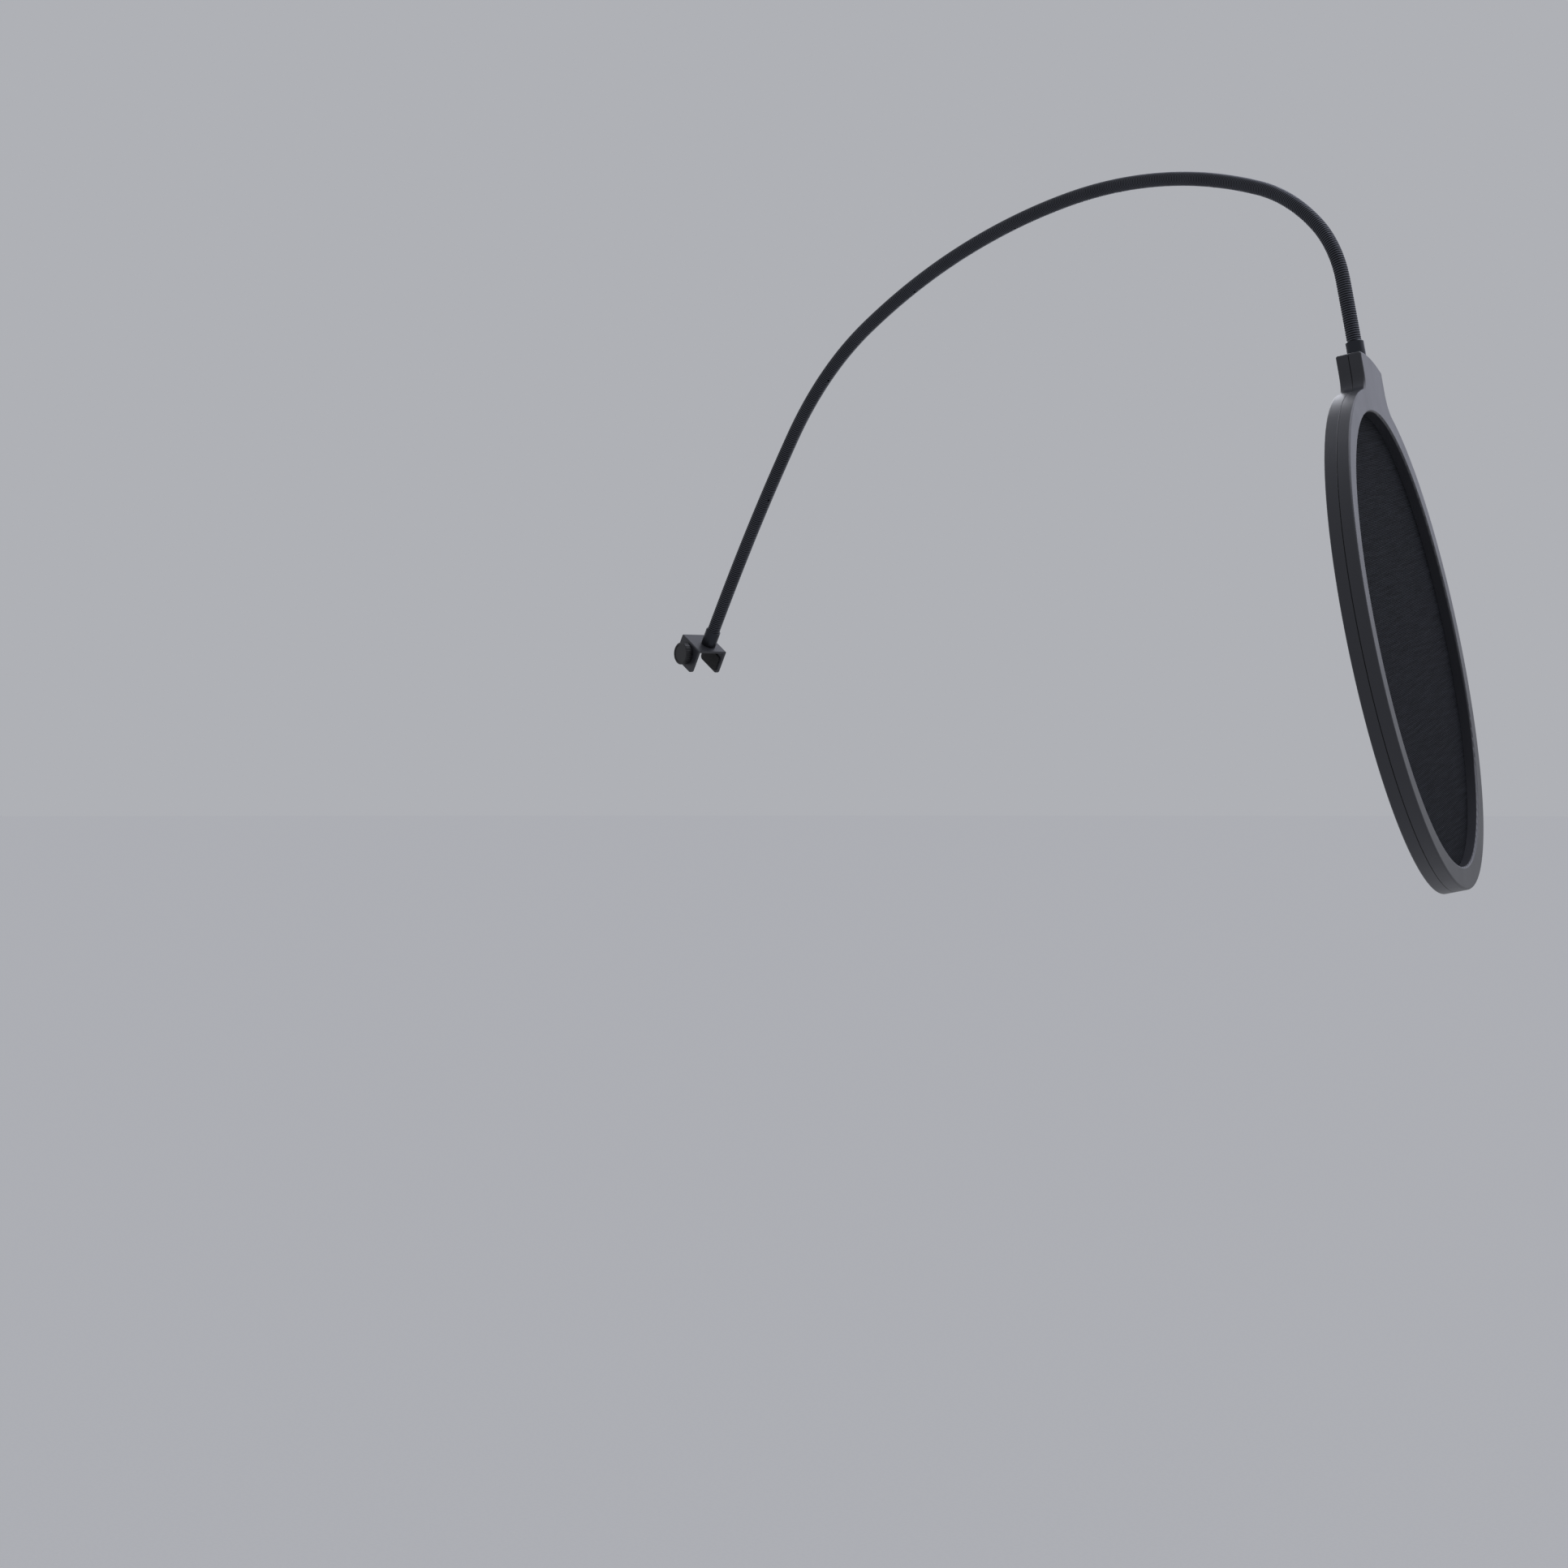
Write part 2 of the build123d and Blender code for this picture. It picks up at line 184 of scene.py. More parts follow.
@dataclass(frozen=True)
class MouldedABS(Finish):
    """ABS from a spark-eroded mould: an even grain under the fingers and a soft, wide sheen."""

    # Real spark-eroded grain is about 0.1 mm across. It is drawn coarser, so that it shows.
    grain_mm: float = 0.35
    grain_depth_mm: float = 0.05
    grain_strength: float = 0.12
    # The cloudiness changes the roughness, from this much smoother to this much rougher.
    cloud_mm: float = 18.0
    smoother: float = 0.05
    rougher: float = 0.06
    # Wear is a share of the worn colour, on edges that are more convex than this.
    worn_colour: str = "#44454a"
    wear: float = 0.05
    worn_from: float = 0.5
    worn_fully: float = 0.62

    def build(self) -> bpy.types.Material:
        """Makes the material.

        Returns:
            The material, with grain, a little cloudiness, and paler edges where hands rub.
        """
        tree, shader = self.start()
        place = add_node(tree, "TexCoord").outputs["Object"]
        grain_scale, cloud_scale = per_metre(self.grain_mm), per_metre(self.cloud_mm)
        grain = add_node(tree, "TexNoise", Vector=place, Scale=grain_scale, Detail=3.0, Roughness=0.6)
        cloud = add_node(tree, "TexNoise", Vector=place, Scale=cloud_scale, Detail=4.0, Roughness=0.55)
        edge = add_node(tree, "NewGeometry").outputs["Pointiness"]
        ramp = add_node(tree, "ValToRGB", Fac=edge)
        worn = set_ramp(ramp, (self.worn_from, "#000000"), (self.worn_fully, "#ffffff"))
        scuff = add_node(tree, "Math", {"operation": "MULTIPLY"}, _0=worn, _1=cloud.outputs["Fac"])
        amount = add_node(tree, "Math", {"operation": "MULTIPLY"}, _0=scuff.outputs[0], _1=self.wear)
        colour = add_node(
            tree,
            "MixRGB",
            Fac=amount.outputs[0],
            Color1=linear(self.colour),
            Color2=linear(self.worn_colour),
        )
        rough = add_node(
            tree,
            "MapRange",
            Value=cloud.outputs["Fac"],
            To_Min=self.roughness - self.smoother,
            To_Max=self.roughness + self.rougher,
        )
        bump = add_node(
            tree,
            "Bump",
            Height=grain.outputs["Fac"],
            Strength=self.grain_strength,
            Distance=self.grain_depth_mm * MM,
        )
        tree.links.new(colour.outputs["Color"], shader.inputs["Base Color"])
        tree.links.new(rough.outputs["Result"], shader.inputs["Roughness"])
        tree.links.new(bump.outputs["Normal"], shader.inputs["Normal"])
        return bpy.data.materials[self.name]


@dataclass(frozen=True)
class PlatedSteel(Finish):
    """Turned or wound steel, bare or thinly plated: fine scratches and tight highlights."""

    # Real scratches are finer than this. They are drawn coarser, so that they show.
    scratch_mm: float = 0.12
    scratch_depth_mm: float = 0.02
    scratch_strength: float = 0.06
    # Finger smears change the roughness, from this much smoother to this much rougher.
    smear_mm: float = 9.0
    smoother: float = 0.06
    rougher: float = 0.1

    def build(self) -> bpy.types.Material:
        """Makes the material.

        Returns:
            The material, with fine scratches that spread its highlight.
        """
        tree, shader = self.start()
        place = add_node(tree, "TexCoord").outputs["Object"]
        scratch = add_node(tree, "TexNoise", Vector=place, Scale=per_metre(self.scratch_mm), Detail=2.0)
        smear = add_node(tree, "TexNoise", Vector=place, Scale=per_metre(self.smear_mm), Detail=3.0)
        rough = add_node(
            tree,
            "MapRange",
            Value=smear.outputs["Fac"],
            To_Min=self.roughness - self.smoother,
            To_Max=self.roughness + self.rougher,
        )
        bump = add_node(
            tree,
            "Bump",
            Height=scratch.outputs["Fac"],
            Strength=self.scratch_strength,
            Distance=self.scratch_depth_mm * MM,
        )
        tree.links.new(rough.outputs["Result"], shader.inputs["Roughness"])
        tree.links.new(bump.outputs["Normal"], shader.inputs["Normal"])
        return bpy.data.materials[self.name]


@dataclass(frozen=True)
class WoundWire(Finish):
    """Blackened half-round wire, wound tight: shade is painted near black into the grooves between turns, and each
    crown keeps the wire's own colour.
    """

    # Across a turn, from 0 in the groove to 1 on the crown: where the painted groove shade ends and the crown
    # begins.
    groove_colour: str = "#020203"
    groove_up_to: float = 0.35
    crown_from: float = 0.95
    groove_duller: float = 0.25
    smear_mm: float = 14.0
    smear_darkest: float = 0.75
    smear_palest: float = 1.25

    def build(self) -> bpy.types.Material:
        """Makes the material from the piece's own UVs, whose V counts the wire's turns.

        Returns:
            The material, with painted shade in the groove of every turn and slow changes along the arm.
        """
        tree, shader = self.start()
        uv = add_node(tree, "UVMap", {"uv_map": "winding"}).outputs["UV"]
        turns = add_node(tree, "SeparateXYZ", Vector=uv).outputs["Y"]
        across = add_node(tree, "Math", {"operation": "FRACT"}, _0=turns)
        angle = add_node(tree, "Math", {"operation": "MULTIPLY"}, _0=across.outputs[0], _1=math.pi)
        crown = add_node(tree, "Math", {"operation": "SINE"}, _0=angle.outputs[0]).outputs[0]
        place = add_node(tree, "TexCoord").outputs["Object"]
        smear = add_node(tree, "TexNoise", Vector=place, Scale=per_metre(self.smear_mm), Detail=4.0)
        shade = add_node(
            tree,
            "MapRange",
            Value=smear.outputs["Fac"],
            To_Min=self.smear_darkest,
            To_Max=self.smear_palest,
        )
        ramp = add_node(tree, "ValToRGB", Fac=crown)
        # The ramp paints shade into each groove, from near black up to the wire's own colour on the crown.
        tone = set_ramp(ramp, (self.groove_up_to, self.groove_colour), (self.crown_from, self.colour))
        colour = add_node(tree, "VectorMath", {"operation": "SCALE"}, _0=tone, Scale=shade.outputs["Result"])
        dullest = self.roughness + self.groove_duller
        rough = add_node(tree, "MapRange", Value=crown, To_Min=dullest, To_Max=self.roughness)
        tree.links.new(colour.outputs[0], shader.inputs["Base Color"])
        tree.links.new(rough.outputs["Result"], shader.inputs["Roughness"])
        return bpy.data.materials[self.name]


@dataclass(frozen=True)
class PowderCoat(Finish):
    """Powder paint baked on sheet steel: a soft orange peel that breaks up every reflection."""

    peel_mm: float = 0.9
    peel_depth_mm: float = 0.04
    peel_strength: float = 0.12
    # The powder's own grain is finer than this. It is drawn coarser, so that it shows.
    speckle_mm: float = 0.15
    speckle_spread: float = 0.08

    def build(self) -> bpy.types.Material:
        """Makes the material.

        Returns:
            The material, with orange peel and a fine speckle.
        """
        tree, shader = self.start()
        place = add_node(tree, "TexCoord").outputs["Object"]
        peel_scale, speckle_scale = per_metre(self.peel_mm), per_metre(self.speckle_mm)
        peel = add_node(tree, "TexNoise", Vector=place, Scale=peel_scale, Detail=2.0, Roughness=0.4)
        speckle = add_node(tree, "TexNoise", Vector=place, Scale=speckle_scale, Detail=1.0)
        rough = add_node(
            tree,
            "MapRange",
            Value=speckle.outputs["Fac"],
            To_Min=self.roughness - self.speckle_spread,
            To_Max=self.roughness + self.speckle_spread,
        )
        bump = add_node(
            tree,
            "Bump",
            Height=peel.outputs["Fac"],
            Strength=self.peel_strength,
            Distance=self.peel_depth_mm * MM,
        )
        tree.links.new(rough.outputs["Result"], shader.inputs["Roughness"])
        tree.links.new(bump.outputs["Normal"], shader.inputs["Normal"])
        return bpy.data.materials[self.name]


@dataclass(frozen=True)
class WovenNylon(Finish):
    """A plain-woven nylon screen: crossing threads with holes between them painted near black as shade, some
    threads thicker.
    """

    # A screen like this is often woven closer. The threads are as coarse as they need to be to show.
    thread_mm: float = 0.5
    thread_depth_mm: float = 0.12
    thread_strength: float = 0.6
    warp_height: float = 0.75
    # The holes between the threads are painted near black as shade, and the lower warp threads take part of that
    # painted shade.
    hole_colour: str = "#030304"
    hole_up_to: float = 0.45
    thread_from: float = 0.9
    # A slub is one thick thread. It is drawn nearly two threads wide, so that it shows too.
    slub_mm: float = 0.9
    slub_reach_mm: float = 25.0
    slub_thinnest: float = 0.3
    slub_thickest: float = 0.7
    slub_darkest: float = 0.6
    slub_palest: float = 1.4

    def build(self) -> bpy.types.Material:
        """Makes the material from the cloth's own UVs, which are in metres along its threads.

        Returns:
            The material, with threads both ways, painted shade in the holes and a slow change of tone.
        """
        tree, shader = self.start()
        uv = add_node(tree, "UVMap", {"uv_map": "threads"}).outputs["UV"]
        axes = add_node(tree, "SeparateXYZ", Vector=uv)
        half_turns = math.pi * per_metre(self.thread_mm)
        waves = []
        for axis in ("X", "Y"):
            metres = axes.outputs[axis]
            turns = add_node(tree, "Math", {"operation": "MULTIPLY"}, _0=metres, _1=half_turns)
            wave = add_node(tree, "Math", {"operation": "SINE"}, _0=turns.outputs[0])
            waves.append(add_node(tree, "Math", {"operation": "ABSOLUTE"}, _0=wave.outputs[0]).outputs[0])
        warp = add_node(tree, "Math", {"operation": "MULTIPLY"}, _0=waves[0], _1=self.warp_height)
        height = add_node(tree, "Math", {"operation": "MAXIMUM"}, _0=warp.outputs[0], _1=waves[1])
        slub_scale = (per_metre(self.slub_reach_mm), per_metre(self.slub_mm), 1.0)
        drawn = add_node(tree, "Mapping", Vector=uv, Scale=slub_scale)
        slubs = add_node(tree, "TexNoise", Vector=drawn.outputs[0], Scale=1.0, Detail=3.0, Roughness=0.65)
        # The ramp paints shade by thread height: near black in the holes, darker on the lower warp threads.
        weave = add_node(tree, "ValToRGB", Fac=height.outputs[0])
        threads = set_ramp(weave, (self.hole_up_to, self.hole_colour), (self.thread_from, self.colour))
        shade = add_node(
            tree,
            "MapRange",
            Value=slubs.outputs["Fac"],
            From_Min=self.slub_thinnest,
            From_Max=self.slub_thickest,
            To_Min=self.slub_darkest,
            To_Max=self.slub_palest,
        )
        tone = shade.outputs["Result"]
        colour = add_node(tree, "VectorMath", {"operation": "SCALE"}, _0=threads, Scale=tone)
        bump = add_node(
            tree,
            "Bump",
            Height=height.outputs[0],
            Strength=self.thread_strength,
            Distance=self.thread_depth_mm * MM,
        )
        tree.links.new(colour.outputs[0], shader.inputs["Base Color"])
        tree.links.new(bump.outputs["Normal"], shader.inputs["Normal"])
        return bpy.data.materials[self.name]


@dataclass(frozen=True)
class MouldedRubber(Finish):
    """Pressed nitrile rubber: dull and slightly dusty."""

    dust_mm: float = 0.6
    dust_colour: str = "#2a2a2b"
    dust_from: float = 0.4
    dust_fully: float = 0.75
    dust_depth_mm: float = 0.04
    dust_strength: float = 0.2

    def build(self) -> bpy.types.Material:
        """Makes the material.

        Returns:
            The material, with a fine dusty mottle.
        """
        tree, shader = self.start()
        place = add_node(tree, "TexCoord").outputs["Object"]
        dust = add_node(tree, "TexNoise", Vector=place, Scale=per_metre(self.dust_mm), Detail=4.0)
        ramp = add_node(tree, "ValToRGB", Fac=dust.outputs["Fac"])
        colour = set_ramp(ramp, (self.dust_from, self.colour), (self.dust_fully, self.dust_colour))
        bump = add_node(
            tree,
            "Bump",
            Height=dust.outputs["Fac"],
            Strength=self.dust_strength,
            Distance=self.dust_depth_mm * MM,
        )
        tree.links.new(colour, shader.inputs["Base Color"])
        tree.links.new(bump.outputs["Normal"], shader.inputs["Normal"])
        return bpy.data.materials[self.name]


@dataclass(frozen=True)
class MattPaper(Finish):
    """Seamless background paper: pale and without gloss, with a barely visible mottle."""

    mottles_per_metre: float = 60.0
    mottle_colour: str = "#fafafb"
    mottle_up_to: float = 0.3
    plain_from: float = 0.7

    def build(self) -> bpy.types.Material:
        """Makes the material.

        Returns:
            The material, with a faint mottle.
        """
        tree, shader = self.start()
        place = add_node(tree, "TexCoord").outputs["Object"]
        mottle = add_node(tree, "TexNoise", Vector=place, Scale=self.mottles_per_metre, Detail=3.0)
        ramp = add_node(tree, "ValToRGB", Fac=mottle.outputs["Fac"])
        tone = set_ramp(ramp, (self.mottle_up_to, self.mottle_colour), (self.plain_from, self.colour))
        tree.links.new(tone, shader.inputs["Base Color"])
        return bpy.data.materials[self.name]


class Material(Enum):
    """The finishes of the object and of its floor, each one named for what it is made of and how."""

    # ABS moulded in a spark-eroded tool: a dark grey that lifts to a cool sheen where light rakes it.
    HOOP = MouldedABS("abs_spark_eroded_grey", "#292a30", 0.38)
    # ABS moulded black: darker than the hoop, with the same soft sheen.
    KNOB = MouldedABS("abs_moulded_black", "#1c1c1f", 0.38, worn_colour="#38383b")
    # Steel wire, blackened and wound: satin, so each turn carries a thin highlight.
    WRAP = WoundWire("steel_wire_black_satin", "#4c4e55", 0.33, metallic=0.8)
    # Spring steel, drawn and left bare: the palest metal here, with bright streaks of light.
    SPRING = PlatedSteel("spring_steel_bare", "#77787a", 0.32, metallic=1.0)
    # Steel, turned and plated in black nickel: nearly black, with sharp highlights.
    NICKEL = PlatedSteel("steel_turned_black_nickel", "#33353a", 0.27, metallic=0.9)
    # Steel screws, blackened: a dull grey oxide that spreads each highlight.
    OXIDE = PlatedSteel("steel_screw_black_oxide", "#3a3a3d", 0.4, metallic=0.9)
    # Sheet steel, bent and powder coated: soft orange peel breaks up every reflection.
    CLAMP = PowderCoat("steel_sheet_powder_coat", "#313237", 0.42)
    # Nylon, plain woven and dyed dark: hardly any gloss, and painted near black as shade in its holes.
    MESH = WovenNylon("nylon_woven_screen", "#2b2d32", 0.9, specular=0.05)
    # Nitrile rubber, pressed: dull black with a dusty mottle.
    RUBBER = MouldedRubber("rubber_pressed_black", "#171718", 0.8)
    # Uncoated paper: pale and matt, so that the floor gives no reflections.
    PAPER = MattPaper("paper_floor_pale", "#fdfdfe", 0.95, specular=0.0)

    def material(self) -> bpy.types.Material:
        """The material itself, made the first time that it is asked for."""
        return bpy.data.materials.get(self.value.name) or self.value.build()


# ------------------------------------------------------------------ shared mesh work


def make_piece(
    name: str, points: Sequence[Vector], faces: Sequence[Sequence[int]], finish: Material
) -> bpy.types.Object:
    """Makes a smooth mesh object in the row frame.

    Args:
        name: the piece's name.
        points: its vertices, in metres.
        faces: its faces, as indices of vertices.
        finish: what it is made of.

    Returns:
        The new object, linked to the scene.
    """
    mesh = bpy.data.meshes.new(name)
    mesh.from_pydata([tuple(p) for p in points], [], [tuple(f) for f in faces])
    mesh.shade_smooth()
    mesh.materials.append(finish.material())
    piece = bpy.data.objects.new(name, mesh)
    bpy.context.scene.collection.objects.link(piece)
    log.info("%s: %d faces", name, len(faces))
    return piece


def dress(node: str, finish: Material) -> None:
    """Gives a CAD node its finish.

    Args:
        node: the node's name.
        finish: what it is made of.
    """
    mesh = frame["nodes"][node].data
    mesh.materials.clear()
    mesh.materials.append(finish.material())
    log.info("%s: %s", node, finish.value.name)


def joint(name: str) -> dict:
    """The record's joint of this name."""
    return next(j for j in frame["joints"] if j["name"] == name)


def joint_place(name: str) -> Vector:
    """Where a hinge's axis passes, in the row frame, in metres."""
    return Vector(joint(name)["pos_m"])


# ------------------------------------------------------------------ the gooseneck


def chord_share(turn: float) -> float:
    """An arc's chord as a share of its length, from the arc's turn in radians."""
    return math.sin(turn / 2) / (turn / 2) if abs(turn) > STRAIGHT else 1.0


@dataclass(frozen=True)
class Arc:
    """One stretch of the arm's centreline: a circular arc in the plane of +X and +Z."""

    start: Vector
    heading: float
    length: float
    turn: float

    def at(self, distance: float) -> tuple[Vector, float]:
        """The point and heading at a distance along the arc.

        Args:
            distance: metres from the arc's start.

        Returns:
            The point, and the heading in radians from straight up towards +X.
        """
        part = self.turn * distance / self.length
        chord = distance * chord_share(part)
        middle = self.heading + part / 2
        return self.start + chord * Vector((math.sin(middle), 0, math.cos(middle))), self.heading + part


@dataclass(frozen=True)
class WoundTube:
    """A tube wound from wire, with one rounded ridge for each turn."""

    radius: float
    ridge_height: float
    pitch: float
    rows_per_turn: int = 6
    columns: int = 20


@dataclass
class Gooseneck:
    """The bendable arm: a wound outer wrap over a close-wound spring, split where each stretch is stiff."""

    wrap: WoundTube = WoundTube(radius=2.35 * MM, ridge_height=0.24 * MM, pitch=0.75 * MM)
    spring: WoundTube = WoundTube(radius=1.5 * MM, ridge_height=0.3 * MM, pitch=1.0 * MM, columns=14)
    # How much of the arm's own length lies in the lower collar, and in the upper one.
    first_in_collar: float = 3.9 * MM
    last_in_collar: float = 4.2 * MM
    # How far a bend spreads on each side of its joint, and the most of an arc that it may take.
    bend_reach: float = 22 * MM
    bend_share: float = 0.42
    arcs: list[Arc] = field(default_factory=list)

    def find_arcs(self) -> None:
        """Works the arcs out from the places of the bending joints and the first heading."""
        bends = [j for j in frame["joints"] if j["name"].startswith("arm_bend_")]
        seat = next(m for m in frame["record"]["mounts"] if m["name"] == "bar_seat")
        plate_normal = -Vector(seat["axis"])
        heading = math.atan2(plate_normal.x, plate_normal.z)
        low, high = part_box("lower_collar")
        start = self.foot(low, high, plate_normal)
        places = [Vector(j["pos_m"]) for j in bends] + [joint_place("hoop_swivel")]
        for end in places:
            step = end - start
            chord_heading = math.atan2(step.x, step.z)
            turn = 2 * (chord_heading - heading)
            self.arcs.append(Arc(start, heading, step.length / chord_share(turn), turn))
            start, heading = end, heading + turn

    @staticmethod
    def foot(low: Vector, high: Vector, normal: Vector) -> Vector:
        """The middle of the lower collar's base.

        Args:
            low: the collar's lowest corner.
            high: its highest corner.
            normal: the direction the collar stands in.

        Returns:
            The middle of its lower face.
        """
        width = high.y - low.y
        height = (high.z - low.z - width * abs(normal.x)) / normal.z
        return (low + high) / 2 - normal * height / 2

    def distance_at(self, index: int, part: float) -> float:
        """How far along the whole arm a part of one arc is.

        Args:
            index: the arc.
            part: from 0 at its start to 1 at its end.

        Returns:
            The distance from the arm's foot, in metres.
        """
        return sum(a.length for a in self.arcs[:index]) + self.arcs[index].length * part

    def place(self, distance: float) -> tuple[Vector, float]:
        """The point and heading at a distance along the whole arm.

        Args:
            distance: metres from the arm's foot.

        Returns:
            The point, and the heading in radians from straight up towards +X.
        """
        for arc in self.arcs:
            if distance <= arc.length or arc is self.arcs[-1]:
                return arc.at(distance)
            distance -= arc.length
        raise ValueError("the arm has no arcs")

    def wound_points(self, tube: WoundTube, first_row: int, last_row: int) -> list[Vector]:
        """The vertices of a stretch of tube, row by row along the wire's helix.

        Args:
            tube: the tube's sizes.
            first_row: the row that the stretch starts at, counted from the arm's foot.
            last_row: the row that it ends at.

        Returns:
            The vertices, with a full round of columns for each row.
        """
        step = tube.pitch / tube.rows_per_turn
        sideways = Vector((0, 1, 0))
        points = []
        for row in range(first_row, last_row + 1):
            ridge = 2 * ((row % tube.rows_per_turn) / tube.rows_per_turn) - 1
            radius = tube.radius - tube.ridge_height * ridge**2
            for column in range(tube.columns):
                part = column / tube.columns
                middle, heading = self.place((row + part * tube.rows_per_turn) * step)
                out = Vector((math.cos(heading), 0, -math.sin(heading)))
                angle = 2 * math.pi * part
                points.append(middle + radius * (math.cos(angle) * out + math.sin(angle) * sideways))
        return points

    @staticmethod
    def wound_faces(tube: WoundTube, rows: int) -> list[tuple[int, ...]]:
        """The faces of a stretch of tube. The last column joins the first one of the next turn.

        Args:
            tube: the tube's sizes.
            rows: how many rows of faces the stretch has.

        Returns:
            The faces, as indices of vertices.
        """
        faces = []
        for row in range(rows):
            for column in range(tube.columns):
                here = row * tube.columns + column
                if column + 1 < tube.columns:
                    faces.append((here, here + 1, here + 1 + tube.columns, here + tube.columns))
                elif row + tube.rows_per_turn + 1 <= rows:
                    ahead = (row + tube.rows_per_turn) * tube.columns
                    faces.append((here, ahead, ahead + tube.columns, here + tube.columns))
        return faces

    def wind(
        self, name: str, tube: WoundTube, first_row: int, last_row: int, finish: Material
    ) -> bpy.types.Object:
        """Makes one stretch of a wound tube, whose ridges follow the wire's helix.

        Args:
            name: the piece's name.
            tube: the tube's sizes.
            first_row: the row that the stretch starts at, counted from the arm's foot.
            last_row: the row that it ends at.
            finish: what it is made of.

        Returns:
            The new piece.
        """
        points = self.wound_points(tube, first_row, last_row)
        piece = make_piece(name, points, self.wound_faces(tube, last_row - first_row), finish)
        self.number_turns(piece, tube, first_row)
        return piece

    @staticmethod
    def number_turns(piece: bpy.types.Object, tube: WoundTube, first_row: int) -> None:
        """Gives a wound piece UVs: U goes round the tube, and V counts turns from groove to groove.

        Args:
            piece: the wound piece.
            tube: its sizes.
            first_row: the row that it starts at.
        """
        layer = piece.data.uv_layers.new(name="winding")
        for face in piece.data.polygons:
            rows = [v // tube.columns for v in face.vertices]
            wraps = max(rows) - min(rows) > 1
            for loop in face.loop_indices:
                row, column = divmod(piece.data.loops[loop].vertex_index, tube.columns)
                if wraps and column == tube.columns - 1:
                    row, column = row + tube.rows_per_turn, -1
                turns = (first_row + row) / tube.rows_per_turn
                layer.data[loop].uv = ((column + 1) / tube.columns, turns)

    def cut_rows(self, tube: WoundTube) -> list[int]:
        """Where a tube is cut into its stretches: in the middle of each arc but the first and last.

        Args:
            tube: the tube's sizes.

        Returns:
            The row at each cut, from the lower collar to the upper one.
        """
        last = len(self.arcs) - 1
        cuts = [self.first_in_collar]
        cuts += [self.distance_at(i, 0.5) for i in range(1, last)]
        cuts.append(self.distance_at(last, 1) - self.last_in_collar - tube.pitch)
        return [round(cut / (tube.pitch / tube.rows_per_turn)) for cut in cuts]

    def build(self) -> None:
        """Makes the wrap and the spring in stretches, each one running across its own joint."""
        self.find_arcs()
        tubes = (
            ("wrap", "arm_wrap_", self.wrap, Material.WRAP),
            ("spring", "arm_core_", self.spring, Material.SPRING),
        )
        for kind, node, tube, finish in tubes:
            rows = self.cut_rows(tube)
            for index in range(1, len(self.arcs)):
                piece = self.wind(f"gooseneck_{kind}_{index}", tube, rows[index - 1], rows[index], finish)
                self.bend(piece, index)
                last = index == len(self.arcs) - 1
                replaced = [node + str(index)] + ([node + str(index + 1)] if last else [])
                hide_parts(*replaced)

    def bend(self, piece: bpy.types.Object, index: int) -> None:
        """Bakes a stretch's place into its mesh. The ends of a bend across the joint in its middle are worked out,
        but nothing uses them.

        Args:
            piece: the stretch.
            index: which joint, from 1.
        """
        shorter = min(self.arcs[index - 1].length, self.arcs[index].length)
        reach = min(self.bend_reach, self.bend_share * shorter)
        along = self.distance_at(index, 0)
        start, _ = self.place(along - reach)
        end, _ = self.place(along + reach)
        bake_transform(piece)


# ------------------------------------------------------------------ the hoop


